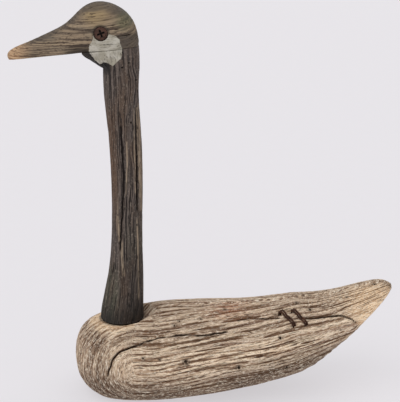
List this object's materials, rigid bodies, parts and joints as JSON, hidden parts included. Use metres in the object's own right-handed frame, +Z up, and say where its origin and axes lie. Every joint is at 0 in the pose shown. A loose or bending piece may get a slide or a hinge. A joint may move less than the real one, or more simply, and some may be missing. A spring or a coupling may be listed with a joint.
{
  "type": "carved wooden goose decoy",
  "caption": "Carved wooden goose decoy with a flat-bellied body, a tall neck that stands on a peg, a one-piece head and bill, screw eyes and wire stitches.",
  "frame": {"origin": "on the ground plane under the middle of the whole decoy", "axes": "the bird faces -X, its left side faces -Y, and +Z is up"},
  "size_m": [0.381, 0.13, 0.403],
  "materials": {
    "pale_wood": "bare weathered softwood, grey and tan, deeply grained",
    "dark_wood": "old black paint worn back to dark wood along the grain",
    "brown_wood": "worn dark paint over warm brown wood, with a weathered white patch on each cheek",
    "peg_wood": "plain hardwood dowel",
    "rusty_screw": "matte reddish brown rust",
    "rusty_wire": "matte dark brown rust"
  },
  "bodies": {
    "carved_body": {"body": "pale_wood", "front_stitch": "rusty_wire", "rear_stitch": "rusty_wire"},
    "peg": {"neck_peg": "peg_wood"},
    "neck_and_head": {"neck": "dark_wood", "head": "brown_wood", "head_dowel": "peg_wood", "eye_screw_left": "rusty_screw", "eye_screw_right": "rusty_screw"}
  },
  "joints": [
    {"name": "neck_lift", "type": "slide", "parent": "carved_body", "child": "peg", "axis": [0, 0, 1], "range_m": [0, 0.045]},
    {"name": "neck_turn", "type": "hinge", "parent": "peg", "child": "neck_and_head", "pos_m": [-0.084, 0, 0.077], "axis": [0, 0, 1], "continuous": true}
  ]
}
